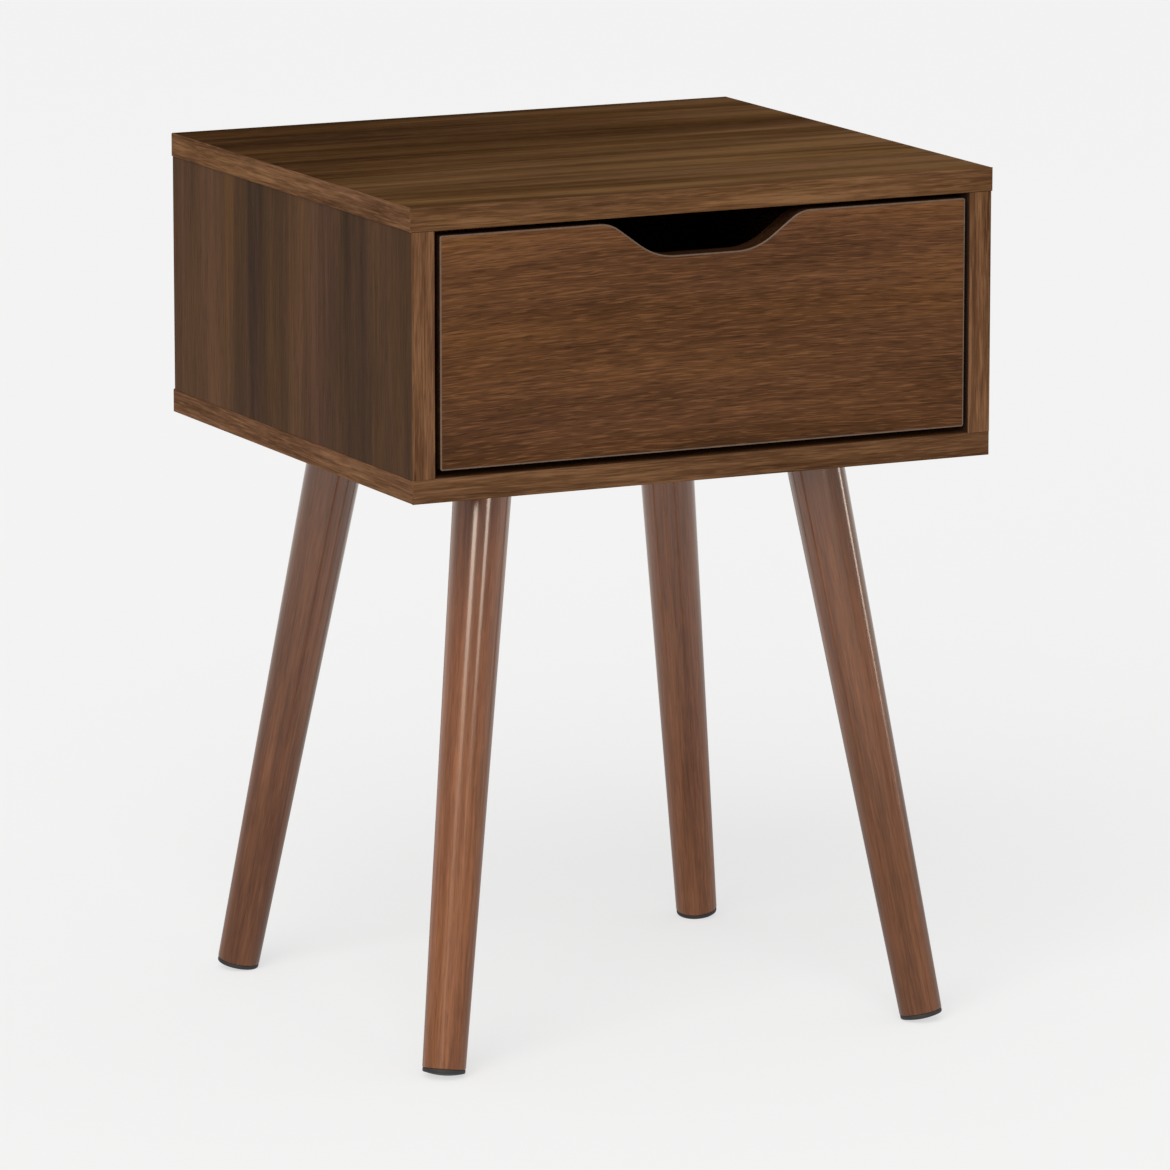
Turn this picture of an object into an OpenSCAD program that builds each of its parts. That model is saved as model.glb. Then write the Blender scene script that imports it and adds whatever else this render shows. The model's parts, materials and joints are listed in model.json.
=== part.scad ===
/* [Cabinet] */
// Overall width, across the top panel's edge bands
cabinet_w = 400; // [360:5:480]
// Overall depth, from the front edges to the back of the bottom panel
cabinet_d = 370; // [365:5:420]
// Height of the cabinet box alone, without its legs
cabinet_h = 182; // [175:1:220]
// Thickness of the laminated boards
board_t = 15; // [15:1:18]
// Thickness of the edge bands glued round the boards
band_t = 1; // [0.5:0.5:1.5]
// Thickness of the hardboard back and of the drawer's bottom
hardboard_t = 3; // [3:0.5:4]
// How far the side panels stand in from the top panel's side edges
side_inset = 1; // [0.5:0.5:2]

/* [Drawer] */
// Gap at each side of the drawer front
front_side_gap = 3.5; // [2:0.5:4]
// Gap above the drawer front
front_top_gap = 3; // [2:0.5:4]
// Gap below the drawer front
front_bottom_gap = 4.5; // [2:0.5:5]
// Height of the drawer's box sides
box_h = 98; // [90:1:110]
// Thickness of the drawer's box sides and back
box_t = 12; // [12:1:13]
// Length of the drawer's box sides
box_len = 328; // [320:1:330]
// How far the drawer pulls out
drawer_travel = 250; // [200:5:250]

/* [Finger cut-out] */
// Width of the cut-out along the drawer front's top edge
cutout_w = 145; // [130:1:170]
// Depth of the cut-out below the top edge
cutout_depth = 22.5; // [20:0.5:26]
// Slope of the straight stretch between its two arcs, in degrees
cutout_slope = 36; // [33:1:42]
// Radius of the rounded lip at each end
lip_r = 22; // [16:1:24]
// Radius of the hollow that runs into the flat floor
hollow_r = 41; // [34:1:44]

/* [Legs] */
// Height of the cabinet's underside above the floor
leg_h = 367; // [250:1:400]
// Lean of each leg, outward along the diagonal, in degrees
leg_tilt = 11.7; // [8:0.1:15]
// Distance from the top panel's side edge to a leg's axis at the underside
leg_inset_x = 85.5; // [80:0.5:110]
// Distance from the front or back edge to a leg's axis at the underside
leg_inset_y = 79; // [75:0.5:110]
// Radius of a leg at its top
leg_top_r = 18.25; // [16:0.25:19]
// Radius of a leg at its foot
leg_foot_r = 13.6; // [12:0.1:15]
// Radius of the domed sole of a foot pad
pad_dome_r = 45; // [35:1:60]

/* [Roller runners] */
// Radius of the roller at the front of each cabinet runner
front_roller_r = 6.5; // [6.5:0.1:6.6]
// Radius of the roller at the back of each drawer runner
rear_roller_r = 7.7; // [7.6:0.1:7.8]
// Radius of the roller pins
pin_r = 2.5; // [2:0.1:2.6]
// Radial play between a roller and its pin
pin_play = 0.05; // [0.02:0.01:0.1]

/* [Hidden] */
$fn = 64;
eps = 0.01;

// The origin is on the floor, under the middle of the cabinet's outline.
// The drawer faces -Y, and +Z is up.

// Cabinet planes
front_y = -cabinet_d / 2;
back_y = cabinet_d / 2;
side_back_y = back_y - hardboard_t;
outer_x = cabinet_w / 2 - side_inset;
inner_x = outer_x - board_t;
side_mid_x = outer_x - board_t / 2;
under_z = leg_h;
floor_z = under_z + board_t;
top_z = under_z + cabinet_h;
ceiling_z = top_z - board_t;

// Cabinet fittings
dowel_r = 4;
dowel_len = 30;
dowel_bite = 10;
dowel_ys = [-140, 140];
cam_r = 7.5;
cam_setback = 24;
cam_depth = 12;
cam_bolt_r = 3;
cam_thread_r = 2.5;
cam_thread_len = 10;
cam_ys = [-100, 100];
bottom_screw_ys = [-90, 90];
bottom_screw_r = 3.5;
bottom_screw_len = 45;
bottom_screw_head_r = 5;
back_inset = 3;
back_screw_r = 1.5;
back_screw_head_r = 3;
back_screw_len = 16;

// Drawer planes
front_t = board_t;
front_back_y = front_y + front_t;
front_half_w = inner_x - front_side_gap;
front_bottom_z = floor_z + front_bottom_gap;
front_top_z = ceiling_z - front_top_gap;
runner_space = 12.5;
box_outer_x = inner_x - runner_space;
box_inner_x = box_outer_x - box_t;
box_mid_x = box_outer_x - box_t / 2;
box_bottom_z = floor_z + 15;
box_top_z = box_bottom_z + box_h;
box_back_y = front_back_y + box_len;
groove_depth = 6;
arc_steps = 12;
groove_z = box_bottom_z + 10;

// Drawer fittings
drawer_cam_depth = 9.5;
drawer_cam_zs = [floor_z + 45, floor_z + 95];
drawer_dowel_r = 3;
drawer_dowel_z = floor_z + 70;
drawer_screw_r = 2;
drawer_screw_head_r = 4;
drawer_screw_len = 40;
drawer_screw_zs = [floor_z + 50, floor_z + 90];
small_screw_r = 1.6;
small_screw_head_r = 3.2;
small_head_t = 1.8;

// Runner section, measured from the side panel's inner face and from the
// top of the cabinet runner's lower flange
steel_t = 1.2;
runner_z = box_bottom_z - 2;
axle_h = 8;
flange_w = 8;
channel_h = 17;
lip_gap = 0.3;
lip_h = axle_h + front_roller_r + lip_gap;
lip_reach = 3;
roller_near = 3;
roller_w = 6.5;
pin_head_r = 4;
pin_head_t = 0.8;
front_axle_y = front_y + 29;
rear_axle_y = box_back_y - 8;
channel_front_y = front_axle_y + 11;
runner_front_y = front_axle_y - 10;
runner_back_y = side_back_y - 8;
stop_h = 3;
stop_t = 1.8;
stop_clear = sqrt(pow(rear_roller_r, 2) - pow(axle_h - stop_h, 2)) + 0.3;
cabinet_screw_ys = [-70, 30, 120];
cabinet_screw_len = 11;
drawer_screw_ys = [-140, 0, 140];

// Leg fittings, measured down each leg's own axis from the underside
leg_x = cabinet_w / 2 - leg_inset_x;
leg_y = cabinet_d / 2 - leg_inset_y;
boss_r = 19;
boss_depth = 9;
plate_w = 60;
plate_t = 2;
plate_corner_r = 6;
plate_hole = 23;
plate_screw_r = 1.75;
plate_screw_head_r = 4;
plate_screw_len = 11;
leg_bolt_r = 4;
leg_bolt_start = 1.5;
leg_bolt_end = 41;
pad_centre = (leg_h - pad_dome_r) / cos(leg_tilt);
pad_r = leg_foot_r - 0.2;
pad_rim = 2.5;
leg_end = pad_centre + sqrt(pow(pad_dome_r, 2) - pow(pad_r, 2)) - pad_rim;
nail_r = 1.3;
nail_head_r = 3.5;
nail_len = 16;

// Colours
laminate = "#5b3f2c";
band_wood = "#7d5335";
leg_wood = "#8a5a3c";
hardboard = "#8b6b4c";
zinc = "#b9bcc0";
coated_steel = "#d9d8d2";
nylon = "#f0eee6";
soft_black = "#1c1b1b";
raw_wood = "#c9a877";

// ---------------------------------------------------------------- helpers

// A box between two corners
module block(low, high) {
    translate(low) cube(high - low);
}

// A round bar from a point along +X, +Y or +Z, of either sign of length
module bar_x(p, r, len) {
    translate(p) rotate([0, len < 0 ? -90 : 90, 0]) cylinder(r = r, h = abs(len));
}
module bar_y(p, r, len) {
    translate(p) rotate([len < 0 ? 90 : -90, 0, 0]) cylinder(r = r, h = abs(len));
}
module bar_z(p, r, len) {
    translate(p) cylinder(r = r, h = len);
}

// Places its children at the right (+1) or mirrors them to the left (-1)
module at_side(side) {
    mirror([side < 0 ? 1 : 0, 0, 0]) children();
}

// A countersunk screw that points along +Z from its head's flat face
module flat_screw(head_r, head_t, r, len) {
    cylinder(r1 = head_r, r2 = r, h = head_t);
    translate([0, 0, head_t - eps]) cylinder(r = r, h = len - head_t + eps);
}

// A pan-head screw whose head lies below z = 0 and whose shank rises
module pan_screw(r, len) {
    translate([0, 0, -small_head_t]) cylinder(r = small_screw_head_r, h = small_head_t);
    translate([0, 0, -eps]) cylinder(r = r, h = len + eps);
}

// ---------------------------------------------------------------- cabinet

module top_panel() {
    color(laminate) difference() {
        block([-cabinet_w / 2 + band_t, front_y + band_t, ceiling_z],
              [cabinet_w / 2 - band_t, side_back_y, top_z]);
        for (side = [-1, 1]) {
            for (y = dowel_ys)
                bar_z([side * side_mid_x, y, ceiling_z - eps], dowel_r, dowel_bite + eps);
            for (y = cam_ys)
                bar_z([side * side_mid_x, y, ceiling_z - eps], cam_thread_r,
                      cam_thread_len + eps);
        }
        back_screws_along_top();
    }
}

module top_panel_bands() {
    color(band_wood) {
        block([-cabinet_w / 2, front_y, ceiling_z], [cabinet_w / 2, front_y + band_t, top_z]);
        for (side = [-1, 1])
            at_side(side)
                block([cabinet_w / 2 - band_t, front_y + band_t, ceiling_z],
                      [cabinet_w / 2, side_back_y, top_z]);
    }
}

module bottom_panel() {
    color(laminate) difference() {
        block([-outer_x + band_t, front_y + band_t, under_z],
              [outer_x - band_t, back_y, floor_z]);
        for (side = [-1, 1]) {
            for (y = dowel_ys)
                bar_z([side * side_mid_x, y, floor_z - dowel_bite], dowel_r, dowel_bite + eps);
            for (y = bottom_screw_ys)
                translate([side * side_mid_x, y, under_z]) bottom_screw();
        }
        for (sx = [-1, 1])
            for (sy = [-1, 1])
                at_plate(sx, sy) plate_screw_set();
    }
}

module bottom_panel_bands() {
    color(band_wood) {
        block([-outer_x, front_y, under_z], [outer_x, front_y + band_t, floor_z]);
        for (side = [-1, 1])
            at_side(side)
                block([outer_x - band_t, front_y + band_t, under_z],
                      [outer_x, back_y, floor_z]);
    }
}

// The right side panel; the left one is its mirror image
module side_panel() {
    color(laminate) difference() {
        block([inner_x, front_y + band_t, floor_z], [outer_x, side_back_y, ceiling_z]);
        for (y = dowel_ys) {
            bar_z([side_mid_x, y, floor_z - eps], dowel_r, dowel_len - dowel_bite + eps);
            bar_z([side_mid_x, y, ceiling_z - dowel_len + dowel_bite], dowel_r,
                  dowel_len - dowel_bite + eps);
        }
        for (y = cam_ys) {
            bar_x([inner_x - eps, y, ceiling_z - cam_setback], cam_r, cam_depth + eps);
            bar_z([side_mid_x, y, ceiling_z - cam_setback], cam_bolt_r, cam_setback + eps);
        }
        for (y = bottom_screw_ys)
            translate([side_mid_x, y, under_z]) bottom_screw();
        side_back_screws();
        for (y = cabinet_screw_ys)
            bar_x([inner_x - eps, y, runner_z + axle_h], drawer_screw_r,
                  cabinet_screw_len + eps);
    }
}

module side_band() {
    color(band_wood)
        block([inner_x, front_y, floor_z], [outer_x, front_y + band_t, ceiling_z]);
}

module left_side_panel() { at_side(-1) side_panel(); }
module right_side_panel() { at_side(1) side_panel(); }
module left_side_band() { at_side(-1) side_band(); }
module right_side_band() { at_side(1) side_band(); }

module back_panel() {
    color(hardboard) difference() {
        block([-outer_x + back_inset, side_back_y, floor_z],
              [outer_x - back_inset, back_y, top_z - back_inset]);
        for (side = [-1, 1])
            at_side(side) side_back_screws();
        back_screws_along_top();
    }
}

// One countersunk screw through the hardboard, its head flush with the back
module back_screw(x, z) {
    translate([x, back_y, z]) rotate([90, 0, 0])
        flat_screw(back_screw_head_r, 1.6, back_screw_r, back_screw_len);
}

module side_back_screws() {
    for (z = [floor_z + 20, floor_z + 75, ceiling_z - 20])
        back_screw(side_mid_x, z);
}

module back_screws_along_top() {
    for (x = [-120, 0, 120])
        back_screw(x, ceiling_z + board_t / 2);
}

module back_panel_screws() {
    color(zinc) {
        for (side = [-1, 1])
            at_side(side) side_back_screws();
        back_screws_along_top();
    }
}

module cabinet_dowels() {
    color(raw_wood)
        for (side = [-1, 1])
            for (y = dowel_ys)
                for (z = [floor_z - dowel_bite, ceiling_z - dowel_len + dowel_bite])
                    bar_z([side * side_mid_x, y, z], dowel_r, dowel_len);
}

// The cam bolt's thread is in one board and its neck and head in the next
module cam_bolt(neck_len) {
    cylinder(r = cam_thread_r, h = cam_thread_len);
    translate([0, 0, -neck_len]) cylinder(r = cam_bolt_r - 0.6, h = neck_len + eps);
    translate([0, 0, -1.5]) cylinder(r = cam_bolt_r, h = 1.5 + eps);
    translate([0, 0, -neck_len]) cylinder(r = cam_bolt_r, h = 3);
}

// A cam lock: a round housing with a crosswise way for the bolt's head and a
// screwdriver slot in its face. Its face is at x = 0 and it goes in along +X.
module cam_lock(depth, bolt_x) {
    difference() {
        bar_x([0, 0, 0], cam_r, depth);
        bar_z([bolt_x, 0, -4], cam_bolt_r, cam_r + 6);
        for (turn = [0, 90])
            rotate([turn, 0, 0]) block([-1, -5, -0.8], [1.5, 5, 0.8]);
    }
}

module cabinet_cams() {
    color(zinc)
        for (side = [-1, 1])
            for (y = cam_ys)
                at_side(side) translate([inner_x, y, ceiling_z - cam_setback])
                    cam_lock(cam_depth, board_t / 2);
}

module cabinet_cam_bolts() {
    color(zinc)
        for (side = [-1, 1])
            for (y = cam_ys)
                translate([side * side_mid_x, y, ceiling_z]) cam_bolt(cam_setback + 3);
}

// A countersunk screw up through the bottom panel into a side panel
module bottom_screw() {
    flat_screw(bottom_screw_head_r, 3, bottom_screw_r, bottom_screw_len);
}

module bottom_panel_screws() {
    color(zinc)
        for (side = [-1, 1])
            for (y = bottom_screw_ys)
                translate([side * side_mid_x, y, under_z]) difference() {
                    bottom_screw();
                    translate([0, 0, -eps]) cylinder(r = 2, h = 2, $fn = 6);
                }
}

// ---------------------------------------------------------------- legs

// Places its children on the underside at a leg, with +X pointing outward
module at_plate(sx, sy) {
    translate([sx * leg_x, sy * leg_y, under_z]) rotate([0, 0, atan2(sy, sx)]) children();
}

// The same place, leaning with the leg, whose axis runs down -Z
module at_leg(sx, sy) {
    at_plate(sx, sy) rotate([0, -leg_tilt, 0]) children();
}

module plate_screw_set() {
    for (px = [-1, 1])
        for (py = [-1, 1])
            translate([px * plate_hole, py * plate_hole, -plate_t])
                flat_screw(plate_screw_head_r, plate_t, plate_screw_r,
                           plate_t + plate_screw_len);
}

module plate_outline() {
    reach = plate_w / 2 - plate_corner_r;
    square([plate_w, 2 * reach], center = true);
    square([2 * reach, plate_w], center = true);
    for (px = [-1, 1])
        for (py = [-1, 1])
            translate([px * reach, py * reach]) circle(r = plate_corner_r);
}

// A flat plate with a slanted boss that carries the leg's threaded hole
module leg_plate(sx, sy) {
    color(zinc) at_plate(sx, sy) difference() {
        union() {
            translate([0, 0, -plate_t]) linear_extrude(plate_t) plate_outline();
            intersection() {
                rotate([0, -leg_tilt, 0]) bar_z([0, 0, -boss_depth], boss_r, 3 * boss_depth);
                block([-plate_w, -plate_w, -2 * boss_depth], [plate_w, plate_w, 0]);
            }
        }
        rotate([0, -leg_tilt, 0]) bar_z([0, 0, -2 * boss_depth], leg_bolt_r, 4 * boss_depth);
        plate_screw_set();
    }
}

module leg(sx, sy) {
    color(leg_wood) at_leg(sx, sy) difference() {
        translate([0, 0, -leg_end])
            cylinder(r1 = leg_foot_r, r2 = leg_top_r, h = leg_end - boss_depth);
        bar_z([0, 0, -leg_bolt_end], leg_bolt_r, leg_bolt_end);
        bar_z([0, 0, -leg_end - 1], nail_r, nail_len);
    }
}

// A disc with a domed sole, and a pocket for its nail
module foot_pad(sx, sy) {
    color(soft_black) at_leg(sx, sy) difference() {
        intersection() {
            bar_z([0, 0, -leg_end - 2 * pad_rim], pad_r, 2 * pad_rim);
            translate([0, 0, -pad_centre]) sphere(r = pad_dome_r, $fn = 96);
        }
        pad_nail();
    }
}

module pad_nail() {
    bar_z([0, 0, -leg_end - 1 - 1], nail_head_r, 1);
    bar_z([0, 0, -leg_end - 1 - eps], nail_r, nail_len + eps);
}

module front_left_leg_plate() { leg_plate(-1, -1); }
module front_right_leg_plate() { leg_plate(1, -1); }
module back_left_leg_plate() { leg_plate(-1, 1); }
module back_right_leg_plate() { leg_plate(1, 1); }
module front_left_leg() { leg(-1, -1); }
module front_right_leg() { leg(1, -1); }
module back_left_leg() { leg(-1, 1); }
module back_right_leg() { leg(1, 1); }
module front_left_foot_pad() { foot_pad(-1, -1); }
module front_right_foot_pad() { foot_pad(1, -1); }
module back_left_foot_pad() { foot_pad(-1, 1); }
module back_right_foot_pad() { foot_pad(1, 1); }

module leg_plate_screws() {
    color(zinc)
        for (sx = [-1, 1])
            for (sy = [-1, 1])
                at_plate(sx, sy) plate_screw_set();
}

module leg_bolts() {
    color(zinc)
        for (sx = [-1, 1])
            for (sy = [-1, 1])
                at_leg(sx, sy)
                    bar_z([0, 0, -leg_bolt_end], leg_bolt_r, leg_bolt_end - leg_bolt_start);
}

module foot_pad_nails() {
    color(zinc)
        for (sx = [-1, 1])
            for (sy = [-1, 1])
                at_leg(sx, sy) pad_nail();
}

// ---------------------------------------------------------------- drawer

// Points along an arc, from one angle to another
function arc(centre, r, from, to) =
    [for (i = [0 : arc_steps])
        let (angle = from + (to - from) * i / arc_steps)
        centre + r * [cos(angle), sin(angle)]];

// The right half of the finger cut-out's edge, from the front's top edge, where
// y is 0, down to its flat floor. A grow over 0 gives the larger cut-out of the
// board behind the edge band.
function cutout_edge(grow) =
    let (arcs = lip_r + hollow_r)
    let (slope = (cutout_depth - arcs * (1 - cos(cutout_slope))) / sin(cutout_slope))
    let (run = arcs * sin(cutout_slope) + slope * cos(cutout_slope))
    concat(arc([cutout_w / 2, -lip_r], lip_r - grow, 90, 90 + cutout_slope),
           arc([cutout_w / 2 - run, hollow_r - cutout_depth], hollow_r + grow,
               cutout_slope - 90, -90));

// The finger cut-out, open above the front's top edge
module cutout(grow) {
    right_edge = cutout_edge(grow);
    last = len(right_edge) - 1;
    polygon(concat([[cutout_w / 2, cutout_depth]], right_edge,
                   [for (i = [last : -1 : 0]) [-right_edge[i][0], right_edge[i][1]]],
                   [[-cutout_w / 2, cutout_depth]]));
}

// The drawer front's outline with its cut-out, shrunk all round
module front_outline(shrink) {
    difference() {
        translate([-front_half_w + shrink, front_bottom_z + shrink])
            square([2 * (front_half_w - shrink), front_top_z - front_bottom_z - 2 * shrink]);
        translate([0, front_top_z]) cutout(shrink);
    }
}

// Gives an outline in X and Z the drawer front's thickness
module front_slab() {
    translate([0, front_back_y, 0]) rotate([90, 0, 0]) linear_extrude(front_t) children();
}

module drawer_front() {
    color(laminate) difference() {
        front_slab() front_outline(band_t);
        drawer_bottom_board();
        for (side = [-1, 1]) {
            for (z = drawer_cam_zs)
                bar_y([side * box_mid_x, front_back_y + eps, z], cam_thread_r,
                      -cam_thread_len - eps);
            drawer_dowel(side);
        }
    }
}

module drawer_front_band() {
    color(band_wood) front_slab() difference() {
        front_outline(0);
        front_outline(band_t);
    }
}

// The drawer's right side; the left one is its mirror image
module drawer_side() {
    color(laminate) difference() {
        block([box_inner_x, front_back_y, box_bottom_z], [box_outer_x, box_back_y, box_top_z]);
        drawer_bottom_board();
        for (z = drawer_cam_zs) {
            bar_x([box_inner_x - eps, front_back_y + cam_setback, z], cam_r,
                  drawer_cam_depth + eps);
            bar_y([box_mid_x, front_back_y - eps, z], cam_bolt_r, cam_setback + eps);
        }
        drawer_dowel(1);
        drawer_back_screw_pair();
        for (y = drawer_screw_ys)
            translate([box_mid_x, y, box_bottom_z]) pan_screw(small_screw_r, 9);
    }
}

module drawer_left_side() { at_side(-1) drawer_side(); }
module drawer_right_side() { at_side(1) drawer_side(); }

module drawer_back() {
    color(laminate) difference() {
        block([-box_inner_x, box_back_y - box_t, groove_z + hardboard_t],
              [box_inner_x, box_back_y, box_top_z]);
        for (side = [-1, 1])
            at_side(side) drawer_back_screw_pair();
        drawer_bottom_screw_row();
    }
}

module drawer_bottom_board() {
    block([-box_inner_x - groove_depth, front_back_y - groove_depth, groove_z],
          [box_inner_x + groove_depth, box_back_y, groove_z + hardboard_t]);
}

module drawer_bottom() {
    color(hardboard) difference() {
        drawer_bottom_board();
        drawer_bottom_screw_row();
    }
}

module drawer_dowel(side) {
    bar_y([side * box_mid_x, front_back_y - 9, drawer_dowel_z], drawer_dowel_r, 25);
}

module drawer_dowels() {
    color(raw_wood)
        for (side = [-1, 1])
            drawer_dowel(side);
}

module drawer_cams() {
    color(zinc)
        for (side = [-1, 1])
            for (z = drawer_cam_zs)
                at_side(side) translate([box_inner_x, front_back_y + cam_setback, z])
                    rotate([90, 0, 0]) cam_lock(drawer_cam_depth, box_t / 2);
}

module drawer_cam_bolts() {
    color(zinc)
        for (side = [-1, 1])
            for (z = drawer_cam_zs)
                translate([side * box_mid_x, front_back_y, z]) rotate([90, 0, 0])
                    cam_bolt(cam_setback + 3);
}

// The two screws through one drawer side into the drawer back's end
module drawer_back_screw_pair() {
    for (z = drawer_screw_zs)
        translate([box_outer_x, box_back_y - box_t / 2, z]) rotate([0, -90, 0])
            flat_screw(drawer_screw_head_r, 2, drawer_screw_r, drawer_screw_len);
}

module drawer_back_screws() {
    color(zinc)
        for (side = [-1, 1])
            at_side(side) drawer_back_screw_pair();
}

module drawer_bottom_screw_row() {
    for (x = [-100, 0, 100])
        translate([x, box_back_y - box_t / 2, groove_z]) pan_screw(back_screw_r, 15);
}

module drawer_bottom_screws() {
    color(zinc) drawer_bottom_screw_row();
}

// ---------------------------------------------------------------- runners

// The right cabinet runner: a C channel with a stop at each end of the rear
// roller's way and a tab in front that carries the front roller's pin
module cabinet_runner() {
    stop_out_y = rear_axle_y - drawer_travel - stop_clear;
    stop_in_y = rear_axle_y + stop_clear;
    color(coated_steel) difference() {
        union() {
            block([inner_x - steel_t, runner_front_y, runner_z - steel_t],
                  [inner_x, runner_back_y, runner_z + channel_h + steel_t]);
            for (z = [runner_z - steel_t, runner_z + channel_h])
                block([inner_x - steel_t - flange_w, channel_front_y, z],
                      [inner_x - steel_t + eps, runner_back_y, z + steel_t]);
            block([inner_x - steel_t - flange_w, stop_out_y - stop_t, runner_z - eps],
                  [inner_x - steel_t + eps, stop_out_y, runner_z + stop_h]);
            block([inner_x - steel_t - flange_w, stop_in_y, runner_z - eps],
                  [inner_x - steel_t + eps, stop_in_y + stop_t, runner_z + stop_h]);
        }
        bar_x([inner_x + eps, front_axle_y, runner_z + axle_h], pin_r, -2 * steel_t);
        for (y = cabinet_screw_ys)
            cabinet_runner_screw(y);
    }
}

module cabinet_runner_screw(y) {
    translate([inner_x - steel_t, y, runner_z + axle_h]) rotate([0, 90, 0])
        flat_screw(small_screw_head_r, steel_t, drawer_screw_r,
                   steel_t + cabinet_screw_len);
}

module cabinet_runner_screws() {
    color(zinc)
        for (side = [-1, 1])
            for (y = cabinet_screw_ys)
                at_side(side) cabinet_runner_screw(y);
}

// The right drawer runner: a web on the drawer's side, a flange under it and
// a lip that rides on the front roller
module drawer_runner() {
    lip_z = runner_z + lip_h;
    color(coated_steel) difference() {
        union() {
            block([box_outer_x, front_back_y, box_bottom_z - steel_t],
                  [box_outer_x + steel_t, box_back_y, lip_z + steel_t]);
            block([box_outer_x - box_t, front_back_y, box_bottom_z - steel_t],
                  [box_outer_x + eps, box_back_y, box_bottom_z]);
            block([box_outer_x + steel_t - eps, front_back_y, lip_z],
                  [inner_x - lip_reach, rear_axle_y - 10, lip_z + steel_t]);
        }
        bar_x([box_outer_x - eps, rear_axle_y, runner_z + axle_h], pin_r, 2 * steel_t);
        for (y = drawer_screw_ys)
            translate([box_mid_x, y, box_bottom_z - steel_t])
                pan_screw(small_screw_r, 10);
    }
}

module drawer_runner_screws() {
    color(zinc)
        for (side = [-1, 1])
            for (y = drawer_screw_ys)
                translate([side * box_mid_x, y, box_bottom_z - steel_t])
                    pan_screw(small_screw_r, 9 + steel_t);
}

// A riveted pin from a runner's web, with a head beyond the roller
module cabinet_roller_pins() {
    reach = roller_near + roller_w + 0.2;
    color(zinc)
        for (side = [-1, 1])
            at_side(side) {
                bar_x([inner_x, front_axle_y, runner_z + axle_h], pin_r, -reach);
                bar_x([inner_x - reach + eps, front_axle_y, runner_z + axle_h], pin_head_r,
                      -pin_head_t);
            }
}

module drawer_roller_pins() {
    reach = runner_space - roller_near + 0.2;
    color(zinc)
        for (side = [-1, 1])
            at_side(side) {
                bar_x([box_outer_x, rear_axle_y, runner_z + axle_h], pin_r, reach);
                bar_x([box_outer_x + reach - eps, rear_axle_y, runner_z + axle_h],
                      pin_head_r, pin_head_t);
            }
}

// A nylon roller with a bored hub, dished on both faces
module roller(y, r) {
    dish_r = r - 1.5;
    hub_r = pin_r + 1.2;
    color(nylon) translate([inner_x - roller_near, y, runner_z + axle_h]) difference() {
        bar_x([0, 0, 0], r, -roller_w);
        bar_x([1, 0, 0], pin_r + pin_play, -roller_w - 2);
        for (face = [[0.01, -1], [-roller_w + 1, -1.01]])
            difference() {
                bar_x([face[0], 0, 0], dish_r, face[1]);
                bar_x([face[0] + 0.5, 0, 0], hub_r, face[1] - 1);
            }
    }
}

module left_front_roller() { at_side(-1) roller(front_axle_y, front_roller_r); }
module right_front_roller() { at_side(1) roller(front_axle_y, front_roller_r); }
module left_rear_roller() { at_side(-1) roller(rear_axle_y, rear_roller_r); }
module right_rear_roller() { at_side(1) roller(rear_axle_y, rear_roller_r); }
module left_cabinet_runner() { at_side(-1) cabinet_runner(); }
module right_cabinet_runner() { at_side(1) cabinet_runner(); }
module left_drawer_runner() { at_side(-1) drawer_runner(); }
module right_drawer_runner() { at_side(1) drawer_runner(); }

// ---------------------------------------------------------------- nodes

top_panel();
bottom_panel();
left_side_panel();
right_side_panel();
back_panel();
top_panel_bands();
bottom_panel_bands();
left_side_band();
right_side_band();
cabinet_dowels();
cabinet_cams();
cabinet_cam_bolts();
bottom_panel_screws();
back_panel_screws();
left_cabinet_runner();
right_cabinet_runner();
cabinet_runner_screws();
cabinet_roller_pins();
front_left_leg_plate();
front_right_leg_plate();
back_left_leg_plate();
back_right_leg_plate();
front_left_leg();
front_right_leg();
back_left_leg();
back_right_leg();
front_left_foot_pad();
front_right_foot_pad();
back_left_foot_pad();
back_right_foot_pad();
leg_plate_screws();
leg_bolts();
foot_pad_nails();
drawer_front();
drawer_front_band();
drawer_left_side();
drawer_right_side();
drawer_back();
drawer_bottom();
drawer_dowels();
drawer_cams();
drawer_cam_bolts();
drawer_back_screws();
drawer_bottom_screws();
left_drawer_runner();
right_drawer_runner();
drawer_runner_screws();
drawer_roller_pins();
left_front_roller();
right_front_roller();
left_rear_roller();
right_rear_roller();
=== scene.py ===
import json
import math

import bmesh
import bpy
from mathutils import Matrix, Vector


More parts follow.
